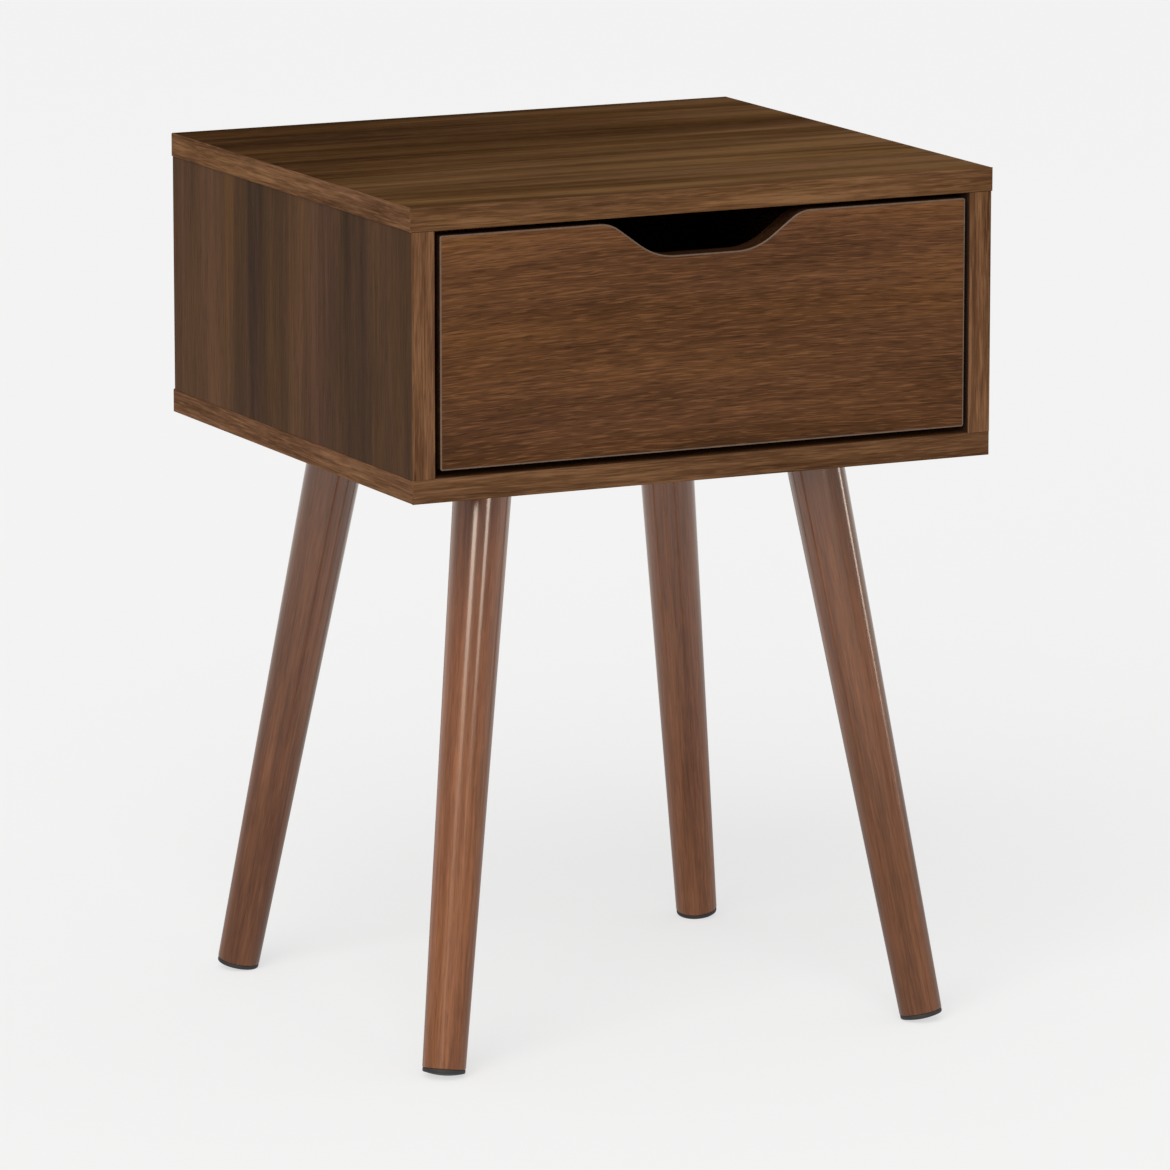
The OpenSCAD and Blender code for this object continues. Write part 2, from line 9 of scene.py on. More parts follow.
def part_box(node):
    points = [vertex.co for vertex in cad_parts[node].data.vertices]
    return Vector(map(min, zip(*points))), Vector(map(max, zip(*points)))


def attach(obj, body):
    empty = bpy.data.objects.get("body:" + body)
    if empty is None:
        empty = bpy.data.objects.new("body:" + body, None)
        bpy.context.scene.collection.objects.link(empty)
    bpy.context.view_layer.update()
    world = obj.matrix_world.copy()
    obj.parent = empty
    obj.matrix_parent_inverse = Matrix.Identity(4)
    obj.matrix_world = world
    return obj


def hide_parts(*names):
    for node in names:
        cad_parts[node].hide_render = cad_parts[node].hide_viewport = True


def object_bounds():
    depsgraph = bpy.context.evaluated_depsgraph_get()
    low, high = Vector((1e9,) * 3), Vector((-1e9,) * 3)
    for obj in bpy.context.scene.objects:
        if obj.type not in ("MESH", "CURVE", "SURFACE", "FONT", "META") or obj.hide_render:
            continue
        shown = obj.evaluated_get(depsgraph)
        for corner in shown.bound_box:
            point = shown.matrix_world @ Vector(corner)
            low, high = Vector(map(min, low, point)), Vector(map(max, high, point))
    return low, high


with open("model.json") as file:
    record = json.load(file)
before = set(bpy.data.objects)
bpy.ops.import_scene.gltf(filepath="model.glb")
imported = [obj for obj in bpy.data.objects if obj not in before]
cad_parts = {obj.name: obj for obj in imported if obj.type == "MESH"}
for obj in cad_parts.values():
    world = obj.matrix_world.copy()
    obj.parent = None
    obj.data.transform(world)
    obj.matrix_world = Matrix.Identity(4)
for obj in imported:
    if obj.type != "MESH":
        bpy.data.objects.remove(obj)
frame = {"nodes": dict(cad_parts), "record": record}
cad_low, cad_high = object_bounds()
MM = 0.001
X, Y, Z = 0, 1, 2

# ---------------------------------------------------------------- stage

CAMERA_AZIMUTH = math.radians(-25.94)
CAMERA_ELEVATION = math.radians(11.07)
CAMERA_DISTANCE = 5.269
SENSOR_WIDTH = 36           # in millimetres, as Blender takes it
CLIP_START = 0.1
VIEW_WIDTH = 0.7479         # what the view takes in, at the object's middle
AIM_OFFSET = Vector((0.0052, -0.0037, -0.0061))

SKY_LIGHT = 0.55
SUN_DISTANCE = 8
SOFTBOX_DISTANCE = 6
SOFTBOX_HEIGHT = 0.9
WARM = (1.0, 0.87, 0.74)

FLOOR_RADIUS = 40.0
FLOOR_STEPS = 128
FLOOR_TONE = 0.3
FLOOR_SPREAD = 0.004        # how far the floor's tone wanders either way
FLOOR_CLOUDS = (0.4, 0.4, 0.4)
FLOOR_GLOW = 0.607
FLOOR_ROUGHNESS = 0.95

centre = (cad_low + cad_high) / 2


def away(azimuth, elevation):
    """The direction from the object towards a viewer; azimuth 0 is in front of it."""
    flat = math.cos(elevation)
    return Vector((math.sin(azimuth) * flat, -math.cos(azimuth) * flat, math.sin(elevation)))


def aim(thing, place, target):
    """Puts a camera or light at place, looking at target."""
    thing.location = place
    thing.rotation_mode = "QUATERNION"
    thing.rotation_quaternion = (target - place).to_track_quat("-Z", "Y")


def make_camera():
    data = bpy.data.cameras.new("camera")
    data.sensor_width = SENSOR_WIDTH
    data.lens = data.sensor_width * CAMERA_DISTANCE / VIEW_WIDTH
    data.clip_start = CLIP_START
    data.clip_end = 3 * FLOOR_RADIUS
    camera = bpy.data.objects.new("camera", data)
    bpy.context.collection.objects.link(camera)
    target = centre + AIM_OFFSET
    aim(camera, target + CAMERA_DISTANCE * away(CAMERA_AZIMUTH, CAMERA_ELEVATION), target)
    bpy.context.scene.camera = camera


def make_light(name, kind, azimuth, elevation, distance, power):
    """A light that looks at the object from a direction given in degrees."""
    data = bpy.data.lights.new(name, kind)
    data.energy = power
    light = bpy.data.objects.new(name, data)
    bpy.context.collection.objects.link(light)
    direction = away(math.radians(azimuth), math.radians(elevation))
    aim(light, centre + distance * direction, centre)
    return data


def make_softbox(name, azimuth, elevation, width, power):
    data = make_light(name, "AREA", azimuth, elevation, SOFTBOX_DISTANCE, power)
    data.shape = "RECTANGLE"
    data.size = width
    data.size_y = SOFTBOX_HEIGHT
    data.color = WARM


def make_sun(azimuth, elevation, spread, power):
    """Broad light that is the same all over the floor."""
    data = make_light("broad_light", "SUN", azimuth, elevation, SUN_DISTANCE, power)
    data.angle = math.radians(spread)


def make_world():
    world = bpy.data.worlds.new("studio")
    world.use_nodes = True
    background = world.node_tree.nodes["Background"]
    background.inputs["Color"].default_value = (1, 1, 1, 1)
    background.inputs["Strength"].default_value = SKY_LIGHT
    bpy.context.scene.world = world


make_camera()
make_world()
make_sun(azimuth=-40, elevation=38, spread=50, power=2.0)
make_softbox("left_softbox", azimuth=-46, elevation=13, width=1.5, power=44)
make_softbox("middle_softbox", azimuth=2, elevation=10, width=1.2, power=36)
make_softbox("right_softbox", azimuth=76, elevation=4, width=0.8, power=20)
bpy.context.scene.view_settings.view_transform = "Standard"

# ---------------------------------------------------------------- node trees

BUMP_DEPTH = 0.1 * MM
NOISE_SPAN = (0.3, 0.7)     # the range that most of a noise's values lie in
MIX_FIRST, MIX_SECOND, MIX_RESULT = 6, 7, 2     # a colour Mix node's sockets


class Tree:
    """A material and the nodes that make it, added one at a time. Its pattern
    lies in the object's own frame, or in the one that frame_of gives."""

    def __init__(self, name, frame_of=None):
        self.material = bpy.data.materials.new(name)
        self.material.use_nodes = True
        self.nodes = self.material.node_tree.nodes
        self.links = self.material.node_tree.links
        self.nodes.clear()
        self.shader = self.nodes.new("ShaderNodeBsdfPrincipled")
        output = self.nodes.new("ShaderNodeOutputMaterial")
        self.links.new(self.shader.outputs["BSDF"], output.inputs["Surface"])
        self.place = self.nodes.new("ShaderNodeTexCoord").outputs["Object"]
        if frame_of:
            turned = self.nodes.new("ShaderNodeMapping")
            turned.vector_type = "TEXTURE"
            turned.inputs["Location"].default_value = frame_of.translation
            turned.inputs["Rotation"].default_value = frame_of.to_euler("XYZ")
            self.feed(turned.inputs["Vector"], self.place)
            self.place = turned.outputs["Vector"]

    def feed(self, socket, value):
        """Links a socket to a node's output, or sets its value."""
        if isinstance(value, bpy.types.NodeSocket):
            self.links.new(value, socket)
        else:
            socket.default_value = value

    def maths(self, operation, a, b):
        node = self.nodes.new("ShaderNodeMath")
        node.operation = operation
        self.feed(node.inputs[0], a)
        self.feed(node.inputs[1], b)
        return node.outputs[0]

    def vector(self, operation, a, b=(0, 0, 0), output="Vector"):
        node = self.nodes.new("ShaderNodeVectorMath")
        node.operation = operation
        self.feed(node.inputs[0], a)
        self.feed(node.inputs[1], b)
        return node.outputs[output]

    def dot(self, a, b):
        return self.vector("DOT_PRODUCT", a, b, output="Value")

    def length(self, a):
        return self.vector("LENGTH", a, output="Value")

    def noise(self, place, detail=3.0, roughness=0.5):
        """Noise that repeats about once in each unit of place."""
        node = self.nodes.new("ShaderNodeTexNoise")
        self.feed(node.inputs["Vector"], place)
        node.inputs["Scale"].default_value = 1.0
        node.inputs["Detail"].default_value = detail
        node.inputs["Roughness"].default_value = roughness
        return node

    def span(self, value, low, high, to_low=0.0, to_high=1.0, smooth=False):
        """Maps a value from one range to another, and no further."""
        node = self.nodes.new("ShaderNodeMapRange")
        if smooth:
            node.interpolation_type = "SMOOTHSTEP"
        self.feed(node.inputs["Value"], value)
        for name, number in (("From Min", low), ("From Max", high),
                             ("To Min", to_low), ("To Max", to_high)):
            self.feed(node.inputs[name], number)
        return node.outputs["Result"]

    def ramp(self, value, stops):
        """Turns a value from 0 to 1 into a colour, by sRGB colours evenly spaced."""
        node = self.nodes.new("ShaderNodeValToRGB")
        elements = node.color_ramp.elements
        while len(elements) < len(stops):
            elements.new(0.5)
        for i, colour in enumerate(stops):
            elements[i].position = i / (len(stops) - 1)
            elements[i].color = rgb(*colour)
        self.feed(node.inputs["Fac"], value)
        return node.outputs["Color"]

    def mix(self, amount, first, second, blend="MIX"):
        node = self.nodes.new("ShaderNodeMix")
        node.data_type = "RGBA"
        node.blend_type = blend
        self.feed(node.inputs["Factor"], amount)
        self.feed(node.inputs[MIX_FIRST], first)
        self.feed(node.inputs[MIX_SECOND], second)
        return node.outputs[MIX_RESULT]

    def bump(self, height, strength):
        node = self.nodes.new("ShaderNodeBump")
        node.inputs["Strength"].default_value = strength
        node.inputs["Distance"].default_value = BUMP_DEPTH
        self.feed(node.inputs["Height"], height)
        self.feed(self.shader.inputs["Normal"], node.outputs["Normal"])


def linear(value):
    """One channel, from 0-255 sRGB to the linear value of the same tone."""
    value /= 255
    return value / 12.92 if value <= 0.04045 else ((value + 0.055) / 1.055) ** 2.4


def rgb(red, green, blue):
    """A colour given in 0-255 sRGB, as the linear values that nodes hold."""
    return (linear(red), linear(green), linear(blue), 1.0)


# ---------------------------------------------------------------- materials

# The layers that every wood has, each as (repeats per metre along the grain, and
# across it, seed), and the range of each one's values that shows.
DRIFT_ALONG, DRIFT_ACROSS = 3.0, 6.0
HUE_LAYER, HUE_SPAN = (2.0, 22, 31.1), (0.35, 0.65)
PORE_LAYER, PORE_SPAN = (70, 1350, 13.9), (0.50, 0.66)
FLECK_LAYER, FLECK_SPAN = (62, 1250, 21.3), (0.52, 0.68)
FIGURE_SEED = 3.7           # from one layer of a figure to the next
LAYER_ROUGHNESS = 0.55
PORE_TONE = 0.62            # of a wood's dark tone
FLECK_TONE = 1.22           # of its light tone

# Multiplied into a wood's colour in slow patches: olive, neutral, and mauve.
TINTS = ((255, 246, 214), (250, 244, 238), (240, 232, 248))

KNOT_OFFSET = (-0.032, -0.034)  # from the drawer front's middle, in X and Z
KNOT_SHAPE = (0.4, 0, 1)    # longer along the grain, and right through the board
KNOT_CORE = 2 * MM
KNOT_REACH = 13 * MM
KNOT_SHADE = -0.2

CLOUDS = (28, 28, 28)
GRAIN_SHARE, CLOUD_SHARE = 0.6, 0.4


def stretched(tree, place, grain, along, across, seed):
    """Coordinates for a pattern that runs along the grain axis: its scale is
    in repeats per metre, along that axis and across it."""
    scale = [across] * 3
    scale[grain] = along
    moved = tree.vector("ADD", place, (seed, 0.7 * seed, 1.3 * seed))
    return tree.vector("MULTIPLY", moved, scale)


def arched(tree, crown):
    """Coordinates in which grain along X falls away on both sides of a crown,
    given as its X and how fast it falls, as on a plain-sawn board."""
    middle, fall = crown
    offset = tree.maths("SUBTRACT", tree.dot(tree.place, (1, 0, 0)), middle)
    rise = tree.maths("MULTIPLY", tree.maths("MULTIPLY", offset, offset), fall)
    joined = tree.nodes.new("ShaderNodeCombineXYZ")
    tree.feed(joined.inputs["Z"], rise)
    return tree.vector("ADD", tree.place, joined.outputs[0])


def wood(name, grain, colours, figure, seed=0.0, wave=0.006, pores=0.5, flecks=0.4,
         roughness=(0.5, 0.62), specular=0.01, relief=0.25, crown=None, knot=None,
         lean=None, tint=0.5, frame_of=None):
    """Walnut. colours are a dark, a middle and a light tone; figure lists its
    layers as (weight, repeats per metre along the grain, and across it). wave is
    how far the grain wanders, in metres. lean is (middle, slope): how fast the
    tone lightens along each axis, per metre. knot is a knot's (X, Z). tint is
    the share of the patches of other hues."""
    tree = Tree(name, frame_of)
    base = arched(tree, crown) if crown else tree.place
    drift_place = stretched(tree, base, grain, DRIFT_ALONG, DRIFT_ACROSS, seed)
    drift = tree.noise(drift_place, detail=2.0)
    shift = tree.vector("SUBTRACT", drift.outputs["Color"], (0.5, 0.5, 0.5))
    reach = [2 * wave] * 3
    reach[grain] = 0.0
    place = tree.vector("ADD", base, tree.vector("MULTIPLY", shift, reach))

    def layer(along, across, offset, detail=2.0):
        spot = stretched(tree, place, grain, along, across, seed + offset)
        return tree.noise(spot, detail, LAYER_ROUGHNESS).outputs["Fac"]

    tone = 0.5
    for number, (weight, along, across) in enumerate(figure):
        value = tree.maths("SUBTRACT", layer(along, across, FIGURE_SEED * number), 0.5)
        tone = tree.maths("ADD", tree.maths("MULTIPLY", value, weight), tone)
    if lean:
        middle, slope = lean
        offset = tree.vector("SUBTRACT", tree.place, middle)
        tone = tree.maths("ADD", tone, tree.dot(offset, slope))
    if knot:
        offset = tree.vector("SUBTRACT", place, (knot[0], 0, knot[1]))
        distance = tree.length(tree.vector("MULTIPLY", offset, KNOT_SHAPE))
        shade = tree.span(distance, KNOT_CORE, KNOT_REACH, KNOT_SHADE, 0.0, smooth=True)
        tone = tree.maths("ADD", tone, shade)
    colour = tree.ramp(tone, colours)
    hues = tree.ramp(tree.span(layer(*HUE_LAYER), *HUE_SPAN), TINTS)
    colour = tree.mix(tint, colour, tree.mix(1.0, colour, hues, "MULTIPLY"))

    pits = tree.span(layer(*PORE_LAYER, detail=1.0), *PORE_SPAN, smooth=True)
    glints = tree.span(layer(*FLECK_LAYER, detail=1.0), *FLECK_SPAN, smooth=True)
    deep = rgb(*(PORE_TONE * c for c in colours[0]))
    pale = rgb(*(min(255, FLECK_TONE * c) for c in colours[-1]))
    colour = tree.mix(tree.maths("MULTIPLY", pits, pores), colour, deep)
    colour = tree.mix(tree.maths("MULTIPLY", glints, flecks), colour, pale)
    tree.feed(tree.shader.inputs["Base Color"], colour)
    tree.feed(tree.shader.inputs["Roughness"], tree.span(glints, 0.0, 1.0, *roughness))
    tree.shader.inputs["Specular IOR Level"].default_value = specular
    tree.bump(tree.maths("SUBTRACT", glints, pits), relief)
    return tree


def plain(name, colour, spread, roughness, metallic=0.0, scale=400.0, relief=0.1,
          stretch=(1, 1, 1)):
    """A material of one colour with fine mottling in tone, gloss and relief."""
    tree = Tree(name)
    place = tree.vector("MULTIPLY", tree.place, [scale * share for share in stretch])
    grain = tree.noise(place, detail=4.0).outputs["Fac"]
    cloud = tree.noise(tree.vector("MULTIPLY", tree.place, CLOUDS)).outputs["Fac"]
    tone = tree.maths("ADD", tree.maths("MULTIPLY", grain, GRAIN_SHARE),
                      tree.maths("MULTIPLY", cloud, CLOUD_SHARE))
    darker = [c * (1 - spread) for c in colour]
    lighter = [min(255, c * (1 + spread)) for c in colour]
    shade = tree.ramp(tree.span(tone, *NOISE_SPAN), [darker, lighter])
    tree.feed(tree.shader.inputs["Base Color"], shade)
    tree.feed(tree.shader.inputs["Roughness"], tree.span(grain, *NOISE_SPAN, *roughness))
    tree.shader.inputs["Metallic"].default_value = metallic
    tree.bump(grain, relief)
    return tree.material


def middle_of(node):
    low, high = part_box(node)
    return (low + high) / 2


# Figures, each layer as (weight, repeats per metre along the grain, and across it).
STREAKS = ((1.3, 1.2, 14), (1.7, 1.8, 30), (0.9, 4.0, 110), (0.5, 14, 420))
COLUMNS = ((1.9, 1.4, 13), (1.0, 2.2, 48), (0.5, 7.0, 150), (0.6, 26, 700))
DASHES = ((1.1, 2.2, 16), (0.8, 5.0, 70), (0.6, 15, 380), (0.7, 36, 1100))
BAND_FIGURE = ((1.2, 5.0, 60), (1.3, 11, 280), (1.3, 36, 900))
LEG_FIGURE = ((1.2, 3.0, 40), (1.0, 7.0, 180), (0.9, 18, 600))

# A dark, a middle and a light tone each.
TOP_COLOURS = ((54, 35, 19), (79, 55, 33), (112, 83, 54))
SIDE_COLOURS = ((52, 40, 30), (75, 55, 40), (98, 71, 50))
FRONT_COLOURS = ((57, 37, 24), (83, 55, 36), (110, 76, 49))
BAND_COLOURS = ((66, 43, 26), (92, 64, 42), (120, 88, 61))
# The drawer front band's broad face: walnut darkened as painted shade, standing in for the
# shade in the gaps round the drawer and in the cut-out.
EDGE_PAINTED_SHADE_COLOURS = ((32, 18, 11), (46, 28, 18), (62, 40, 26))
LEG_COLOURS = ((79, 45, 28), (109, 68, 45), (138, 90, 62))

BAND_PAINTED_LIGHT = (0.94, 1.06, 1.0)             # painted shade and light, of the bands along X, Y and Z: front bands darker, side bands lighter
LEG_PAINTED_SHADE = (0.99, 0.84, 0.84, 0.95)       # painted shade on the legs, in the order they are made: front-right and back-left darkest

LACQUER_TINT = (1.0, 0.86, 0.72, 1.0)
COAT_ROUGHNESS = 0.15
COAT_IOR = 1.62
COAT_THIN, COAT_THICK = 0.05, 0.9
COAT_THIN_AT, COAT_THICK_AT = -0.27, -0.03  # up the leg, from the cabinet's underside

front_middle = middle_of("drawer_front")
knot_place = (front_middle.x + KNOT_OFFSET[0], front_middle.z + KNOT_OFFSET[1])

top_wood = wood("top_laminate", X, TOP_COLOURS, STREAKS, seed=0.4, wave=0.004,
                pores=0.25, flecks=0.12, specular=0.0,
                lean=(middle_of("top_panel"), (0.7, -0.7, 0))).material
side_wood = wood("side_laminate", Z, SIDE_COLOURS, COLUMNS, seed=3.1, wave=0.004,
                 pores=0.25, flecks=0.08, tint=0.9,
                 lean=(middle_of("left_side_panel"), (0, 0.3, 0))).material
front_wood = wood("front_laminate", X, FRONT_COLOURS, DASHES, seed=7.7, wave=0.002,
                  pores=0.42, flecks=0.28, crown=(0.03, 0.12), knot=knot_place,
                  lean=(front_middle, (0, 0, 2.4))).material
inner_wood = wood("inner_laminate", Y, FRONT_COLOURS, DASHES, seed=12.5).material
cross_wood = wood("cross_laminate", X, FRONT_COLOURS, DASHES, seed=15.2).material


def shaded(colours, shade):
    return [[shade * c for c in tone] for tone in colours]


def band_wood(axis):
    """The wood of the edge bands that run along an axis, with painted light or shade for the
    way they face.
    """
    colours = shaded(BAND_COLOURS, BAND_PAINTED_LIGHT[axis])
    return wood("band_along_" + "xyz"[axis], axis, colours, BAND_FIGURE,
                seed=2.2 + 2.4 * axis, wave=0.004, pores=0.2, flecks=0.2).material


band_x_painted_shade, band_y_painted_light, band_z = (band_wood(axis) for axis in (X, Y, Z))


def leg_wood(number, place):
    """Lacquered wood with its grain along the leg's own axis. The lacquer gets
    thinner towards the foot."""
    # Each leg's colours take its painted shade factor.
    colours = shaded(LEG_COLOURS, LEG_PAINTED_SHADE[number])
    tree = wood("leg_wood_%d" % number, Z, colours, LEG_FIGURE, seed=20 + 3.3 * number,
                wave=0.003, pores=0.25, flecks=0.12, roughness=(0.36, 0.42),
                specular=0.3, relief=0.08, tint=0.6, frame_of=place)
    tree.shader.inputs["Specular Tint"].default_value = LACQUER_TINT
    tree.shader.inputs["Coat Roughness"].default_value = COAT_ROUGHNESS
    tree.shader.inputs["Coat IOR"].default_value = COAT_IOR
    tree.shader.inputs["Coat Tint"].default_value = LACQUER_TINT
    height = tree.dot(tree.place, (0, 0, 1))
    coat = tree.span(height, COAT_THIN_AT, COAT_THICK_AT, COAT_THIN, COAT_THICK)
    tree.feed(tree.shader.inputs["Coat Weight"], coat)
    return tree.material


line_wood = plain("front_edge_line", (86, 66, 50), 0.12, (0.4, 0.5), scale=300)
# Painted shade: the band's broad face is walnut darkened for the shade in the gaps and the
# cut-out.
edge_wood_painted_shade = wood("front_edge_face_painted_shade", X, EDGE_PAINTED_SHADE_COLOURS, BAND_FIGURE, seed=9.3,
                 pores=0.2, flecks=0.1, specular=0.0).material
raw_wood = plain("raw_beech", (206, 174, 128), 0.08, (0.6, 0.7), stretch=(1, 1, 0.1))
hardboard = plain("hardboard", (120, 86, 58), 0.12, (0.6, 0.75), scale=700)
zinc = plain("zinc_plate", (186, 189, 194), 0.07, (0.28, 0.4), metallic=1.0, scale=260)
coated_steel = plain("powder_coat", (222, 220, 212), 0.02, (0.34, 0.42), scale=900)
nylon = plain("nylon", (238, 236, 228), 0.02, (0.4, 0.5), scale=500)
pad_black = plain("pad_black", (30, 28, 28), 0.15, (0.6, 0.75), scale=900)

# ---------------------------------------------------------------- mesh helpers

SHARP_ANGLE = math.radians(40)
LATHE_STEPS = 96

slot_of = {part["node"]: part["material_slot"] for part in frame["record"]["subparts"]}


def add_piece(name, bm, materials, body, *nodes):
    """Makes a piece from a bmesh, smooth but for its creases, that rides on a
    body and stands for CAD nodes."""
    bmesh.ops.recalc_face_normals(bm, faces=bm.faces)
    mesh = bpy.data.meshes.new(name)
    bm.to_mesh(mesh)
    bm.free()
    for material in materials:
        mesh.materials.append(material)
    mesh.shade_smooth()
    mesh.set_sharp_from_angle(angle=SHARP_ANGLE)
    piece = bpy.data.objects.new(name, mesh)
    bpy.context.collection.objects.link(piece)
    weighted = piece.modifiers.new("even_normals", "WEIGHTED_NORMAL")
    weighted.keep_sharp = True
    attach(piece, body)
    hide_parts(*nodes)


def soft_box(bm, low, high, radius, soften=lambda middle: True, segments=3, material=0):
    """Adds a box to bm, with the edges whose middles soften picks rounded."""
    part = bmesh.new()
    size = high - low
    place = Matrix.Translation((low + high) / 2) @ Matrix.Diagonal((*size, 1))
    bmesh.ops.create_cube(part, size=1, matrix=place)
    edges = [e for e in part.edges if soften((e.verts[0].co + e.verts[1].co) / 2)]
    bmesh.ops.bevel(part, geom=edges, offset=radius, segments=segments, profile=0.5,
                    affect="EDGES", clamp_overlap=True)
    for face in part.faces:
        face.material_index = material
    mesh = bpy.data.meshes.new("part")
    part.to_mesh(mesh)
    part.free()
    bm.from_mesh(mesh)
    bpy.data.meshes.remove(mesh)


def loop_of(bm, points):
    return [bm.verts.new(p) for p in points]


def join_loops(bm, first, second, material=0):
    """Closes the strip between two loops of the same length with quads."""
    count = len(first)
    for i in range(count):
        j = (i + 1) % count
        bm.faces.new((first[i], first[j], second[j], second[i])).material_index = material


def lathe(bm, profile):
    """Turns a profile of (radius, height) about Z. A radius of 0 closes it."""
    loops = []
    for radius, height in profile:
        if radius == 0:
            loops.append([bm.verts.new((0, 0, height))])
            continue
        turns = [2 * math.pi * i / LATHE_STEPS for i in range(LATHE_STEPS)]
        loops.append(loop_of(bm, [(radius * math.cos(a), radius * math.sin(a), height)
                                  for a in turns]))
    for first, second in zip(loops, loops[1:]):
        if len(first) == 1 or len(second) == 1:
            tip, ring = (first[0], second) if len(first) == 1 else (second[0], first)
            for i in range(LATHE_STEPS):
                bm.faces.new((tip, ring[i], ring[(i + 1) % LATHE_STEPS]))
        else:
            join_loops(bm, first, second)


def arc(x, z, radius, start, end, steps):
    """Points along an arc about (x, z). The angles count up from X towards Z."""
    points = []
    for i in range(steps + 1):
        angle = start + (end - start) * i / steps
        points.append((x + radius * math.cos(angle), z + radius * math.sin(angle)))
    return points


# ---------------------------------------------------------------- cabinet

BAND_EDGE = 0.95 * MM
UPRIGHT_BAND_EDGE = 0.5 * MM
BOARD_EDGE = 0.12 * MM
TINY = 0.1 * MM             # how near a face's plane counts as on it


def board(name, material):
    """A board in its CAD node's place, with its edges just broken."""
    low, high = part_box(name)
    bm = bmesh.new()
    soft_box(bm, low, high, BOARD_EDGE, segments=2)
    add_piece(name + "_board", bm, [material], "cabinet", name)


def frame_bands(name, panel_name):
    """The bands round a horizontal panel: one along its front, and one along
    each side, rounded on their outer edges."""
    low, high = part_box(name)
    panel_low, panel_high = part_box(panel_name)
    bm = bmesh.new()
    soft_box(bm, low, Vector((high.x, panel_low.y, high.z)), BAND_EDGE,
             lambda p: p.y < low.y + TINY)
    for side in (-1, 1):
        outer = high.x * side
        inner = panel_high.x * side
        soft_box(bm, Vector((min(outer, inner), panel_low.y, low.z)),
                 Vector((max(outer, inner), high.y, high.z)), BAND_EDGE,
                 lambda p: abs(p.x - outer) < TINY and p.y > panel_low.y + TINY, material=1)
    add_piece(name + "_strips", bm, [band_x_painted_shade, band_y_painted_light], "cabinet", name)


def upright_band(name):
    """The band down the front edge of a side panel, rounded on its two long
    outer edges."""
    low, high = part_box(name)
    bm = bmesh.new()
    soft_box(bm, low, high, UPRIGHT_BAND_EDGE,
             lambda p: p.y < low.y + TINY and low.z + TINY < p.z < high.z - TINY)
    add_piece(name + "_strip", bm, [band_z], "cabinet", name)


board("top_panel", top_wood)
board("bottom_panel", cross_wood)
board("left_side_panel", side_wood)
board("right_side_panel", side_wood)
frame_bands("top_panel_bands", "top_panel")
frame_bands("bottom_panel_bands", "bottom_panel")
upright_band("left_side_band")
upright_band("right_side_band")

# ---------------------------------------------------------------- legs

LEG_TILT = math.radians(11.7)
BOSS_DEPTH = 9 * MM
LEG_TOP_R = 18.25 * MM
LEG_FOOT_R = 13.6 * MM
PAD_DOME_R = 45 * MM
PAD_R = 13.4 * MM
PAD_RIM = 2.5 * MM
LEG_EASE = 0.8 * MM
PAD_EASE = 0.5 * MM
PAD_CHAMFER = (0.15 * MM, 0.1 * MM)     # in from the rim, and up from its lower end
EASE_STEPS = 5
SHOULDER_STEPS = 3
SOLE_STEPS = 8
QUARTER = math.pi / 2

under_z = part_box("bottom_panel")[0].z
pad_centre = (under_z - PAD_DOME_R) / math.cos(LEG_TILT)
pad_rim_end = pad_centre + math.sqrt(PAD_DOME_R ** 2 - PAD_R ** 2)
leg_end = pad_rim_end - PAD_RIM


def leg_place(corner):
    """The matrix that stands a leg, made down -Z, at a corner of the cabinet."""
    low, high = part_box(corner + "_leg_plate")
    x = (low.x + high.x) / 2
    y = (low.y + high.y) / 2
    turn = Matrix.Rotation(math.atan2(math.copysign(1, y), math.copysign(1, x)), 4, "Z")
    lean = Matrix.Rotation(-LEG_TILT, 4, "Y")
    return Matrix.Translation((x, y, under_z)) @ turn @ lean


def leg_profile():
    top = arc(LEG_TOP_R - LEG_EASE, -BOSS_DEPTH - LEG_EASE, LEG_EASE, QUARTER, 0, EASE_STEPS)
    foot = arc(LEG_FOOT_R - LEG_EASE, -leg_end + LEG_EASE, LEG_EASE, 0, -QUARTER, EASE_STEPS)
    return [(0, -BOSS_DEPTH)] + top + foot + [(0, -leg_end)]


def pad_profile():
    """A thin disc with a domed sole, its rim just rounded."""
    shoulder = arc(PAD_R - PAD_EASE, -leg_end - PAD_EASE, PAD_EASE, QUARTER, 0,
                   SHOULDER_STEPS)
    sole = []
    rim_angle = math.asin((PAD_R - PAD_EASE) / PAD_DOME_R)
    for i in range(SOLE_STEPS + 1):
        angle = rim_angle * (1 - i / SOLE_STEPS)
        sole.append((PAD_DOME_R * math.sin(angle),
                     -pad_centre - PAD_DOME_R * math.cos(angle)))
    chamfer_in, chamfer_up = PAD_CHAMFER
    rim = [(PAD_R, -pad_rim_end + PAD_EASE),
           (PAD_R - chamfer_in, -pad_rim_end + chamfer_up)]
    return [(0, -leg_end)] + shoulder + rim + sole


def make_leg(number, corner):
    place = leg_place(corner)
    for part, profile, material in (("leg", leg_profile(), leg_wood(number, place)),
                                    ("foot_pad", pad_profile(), pad_black)):
        bm = bmesh.new()
        lathe(bm, profile)
        bmesh.ops.transform(bm, matrix=place, verts=bm.verts)
        node = corner + "_" + part
        add_piece(node + "_turned", bm, [material], "cabinet", node)


for number, corner in enumerate(("front_left", "front_right", "back_left", "back_right")):
    make_leg(number, corner)

# ---------------------------------------------------------------- drawer front

CUTOUT_W = 145 * MM
CUTOUT_DEPTH = 22.5 * MM
CUTOUT_SLOPE = math.radians(36)
LIP_R = 22 * MM
HOLLOW_R = 41 * MM
CORNER_R = 1.5 * MM
FRONT_BAND = 1 * MM
FRONT_BAND_EDGE = 0.6 * MM
CUTOUT_STEPS = 14
CORNER_STEPS = 4

front_low, front_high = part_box("drawer_front_band")


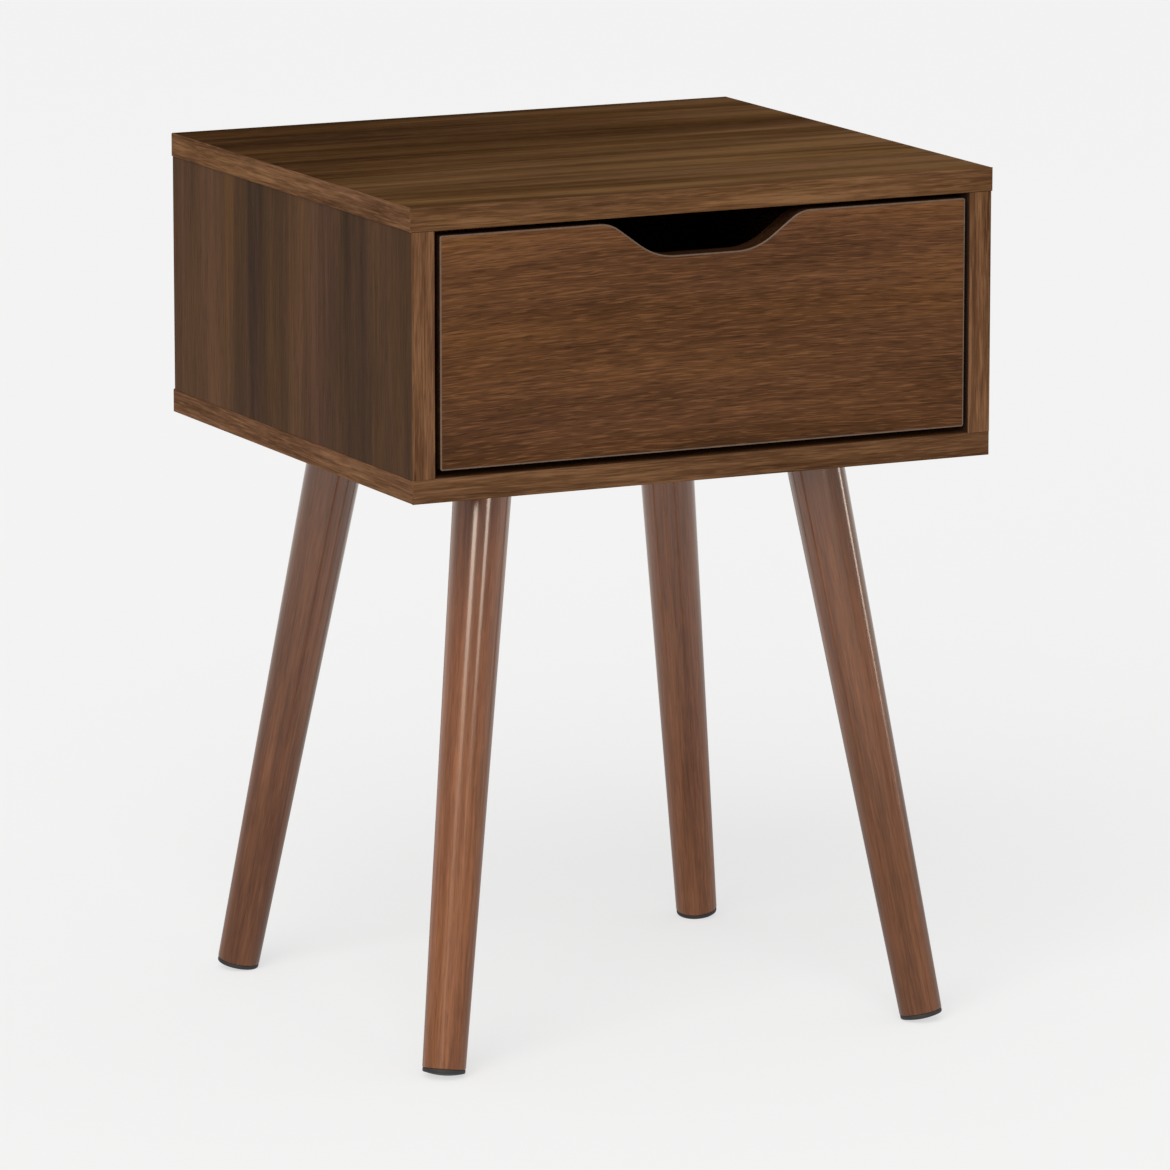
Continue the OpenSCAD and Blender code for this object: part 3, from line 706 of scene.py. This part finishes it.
def front_outline(shrink):
    """The drawer front's outline in X and Z, shrunk all round, from the top
    right corner anticlockwise."""
    arcs = LIP_R + HOLLOW_R
    slope = (CUTOUT_DEPTH - arcs * (1 - math.cos(CUTOUT_SLOPE))) / math.sin(CUTOUT_SLOPE)
    run = arcs * math.sin(CUTOUT_SLOPE) + slope * math.cos(CUTOUT_SLOPE)
    top = front_high.z
    lip_x = CUTOUT_W / 2
    hollow_x = lip_x - run
    hollow_z = top + HOLLOW_R - CUTOUT_DEPTH
    right_edge = arc(lip_x, top - LIP_R, LIP_R - shrink, QUARTER, QUARTER + CUTOUT_SLOPE,
                     CUTOUT_STEPS)
    right_edge += arc(hollow_x, hollow_z, HOLLOW_R + shrink, CUTOUT_SLOPE - QUARTER,
                      -QUARTER, CUTOUT_STEPS)
    left_edge = [(-x, z) for x, z in reversed(right_edge)]
    x = front_high.x - CORNER_R
    low = front_low.z + CORNER_R
    high = top - CORNER_R
    r = CORNER_R - shrink
    corners = [arc(cx, cz, r, start, start + QUARTER, CORNER_STEPS)
               for cx, cz, start in ((x, high, 0), (-x, high, QUARTER),
                                     (-x, low, 2 * QUARTER), (x, low, 3 * QUARTER))]
    return corners[0] + right_edge + left_edge + corners[1] + corners[2] + corners[3]


def outline_loops(bm, stations):
    """One loop of the outline for each (shrink, depth behind the front)."""
    return [loop_of(bm, [(x, front_low.y + depth, z) for x, z in front_outline(shrink)])
            for shrink, depth in stations]


def make_drawer_front():
    """The board, and the band that runs round it and is rounded on its two rims.
    The band's broad outer face has a wood of its own, darkened as painted shade."""
    back = front_high.y - front_low.y
    ease = BOARD_EDGE
    bm = bmesh.new()
    loops = outline_loops(bm, [(FRONT_BAND + ease, 0), (FRONT_BAND, ease),
                               (FRONT_BAND, back - ease), (FRONT_BAND + ease, back)])
    for first, second in zip(loops, loops[1:]):
        join_loops(bm, first, second)
    bm.faces.new(loops[0])
    bm.faces.new(loops[-1])
    add_piece("drawer_front_board", bm, [front_wood], "drawer", "drawer_front")

    r = FRONT_BAND_EDGE
    rounded = [(r - r * math.sin(a), r - r * math.cos(a))
               for a in (QUARTER * i / CORNER_STEPS for i in range(CORNER_STEPS + 1))]
    stations = [(FRONT_BAND, 0)] + rounded
    stations += [(shrink, back - depth) for shrink, depth in reversed(rounded)]
    stations += [(FRONT_BAND, back)]
    bm = bmesh.new()
    loops = outline_loops(bm, stations)
    broad_face = len(rounded)
    for i, (first, second) in enumerate(zip(loops, loops[1:] + loops[:1])):
        join_loops(bm, first, second, material=1 if i == broad_face else 0)
    add_piece("drawer_front_edge", bm, [line_wood, edge_wood_painted_shade], "drawer",
              "drawer_front_band")


make_drawer_front()

# ---------------------------------------------------------------- carried-over nodes


def dress(material, *names):
    """Gives CAD nodes that keep their shape a finished material."""
    for name in names:
        slots = frame["nodes"][name].data.materials
        slots.clear()
        slots.append(material)


dress(inner_wood, "drawer_left_side", "drawer_right_side")
dress(cross_wood, "drawer_back")

finishes = {"hardboard": hardboard, "dowel_wood": raw_wood, "zinc_plated_steel": zinc,
            "coated_runner_steel": coated_steel, "nylon_roller": nylon}
for node, slot in slot_of.items():
    if slot in finishes:
        dress(finishes[slot], node)

# ---------------------------------------------------------------- floor


def make_floor():
    tree = Tree("floor")
    cloud = tree.noise(tree.vector("MULTIPLY", tree.place, FLOOR_CLOUDS))
    tone = tree.span(cloud.outputs["Fac"], *NOISE_SPAN, FLOOR_TONE - FLOOR_SPREAD,
                     FLOOR_TONE + FLOOR_SPREAD)
    tree.feed(tree.shader.inputs["Base Color"], tone)
    tree.shader.inputs["Emission Color"].default_value = (1, 1, 1, 1)
    tree.shader.inputs["Emission Strength"].default_value = FLOOR_GLOW
    tree.shader.inputs["Roughness"].default_value = FLOOR_ROUGHNESS
    tree.shader.inputs["Specular IOR Level"].default_value = 0.0
    bm = bmesh.new()
    bmesh.ops.create_circle(bm, cap_ends=True, segments=FLOOR_STEPS,
                            radius=FLOOR_RADIUS)
    mesh = bpy.data.meshes.new("floor")
    bm.to_mesh(mesh)
    bm.free()
    mesh.materials.append(tree.material)
    floor = bpy.data.objects.new("floor", mesh)
    bpy.context.collection.objects.link(floor)
    floor.location.z = cad_low.z


make_floor()
